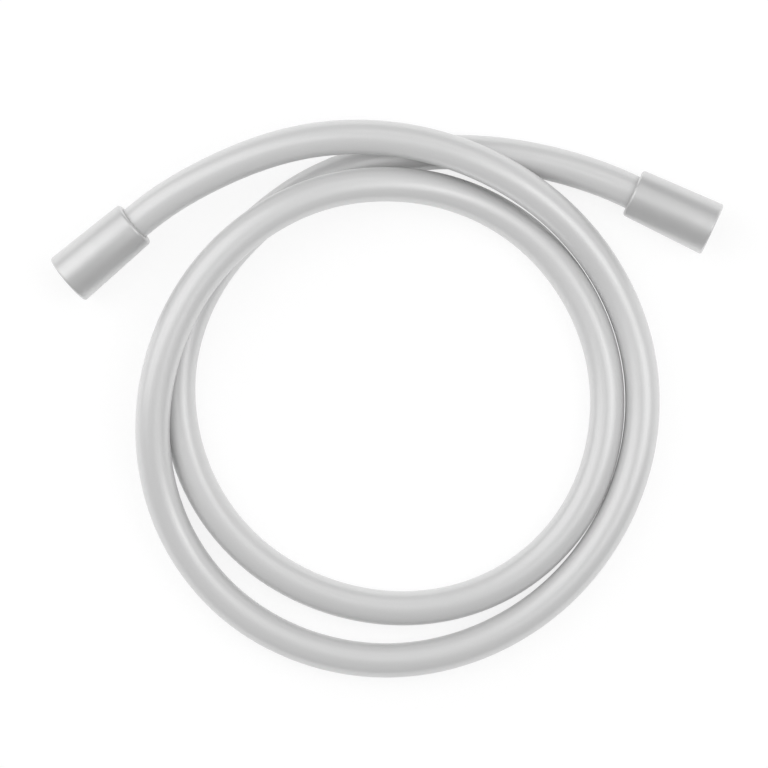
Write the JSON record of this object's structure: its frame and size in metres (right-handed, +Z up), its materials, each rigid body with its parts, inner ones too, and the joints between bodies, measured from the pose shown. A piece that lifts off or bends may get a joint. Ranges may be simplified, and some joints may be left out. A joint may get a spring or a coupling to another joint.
{
  "type": "flexible shower hose",
  "caption": "Smooth plastic shower hose laid in loose turns, with a conical swivelling coupling nut, insert, ferrule and washer on each end.",
  "frame": {"origin": "middle of the laid hose's bounding box, on the floor it lies on", "axes": "+Z up from the floor, +X towards the right coupling nut, +Y towards the side of the coil where both ends come off"},
  "size_m": [0.2982, 0.247, 0.0316],
  "materials": {
    "satin_hose_plastic": "satin silver grey",
    "satin_plated_metal": "satin plated",
    "black_rubber": "matte black",
    "brass": "turned",
    "rolled_steel": "rolled"
  },
  "bodies": {
    "hose": {"hose": "satin_hose_plastic", "left_hose_insert": "brass", "left_crimp_ferrule": "rolled_steel", "right_hose_insert": "brass", "right_crimp_ferrule": "rolled_steel"},
    "left_nut": {"left_coupling_nut": "satin_plated_metal", "left_sealing_washer": "black_rubber"},
    "right_nut": {"right_coupling_nut": "satin_plated_metal", "right_sealing_washer": "black_rubber"}
  },
  "joints": [
    {"name": "left_nut_spin", "type": "hinge", "parent": "hose", "child": "left_nut", "pos_m": [-0.1417, 0.05323, 0.01205], "axis": [-0.7654, -0.6377, -0.0872], "continuous": true},
    {"name": "right_nut_spin", "type": "hinge", "parent": "hose", "child": "right_nut", "pos_m": [0.14425, 0.07546, 0.01209], "axis": [0.9052, -0.424, 0.0295], "continuous": true}
  ]
}
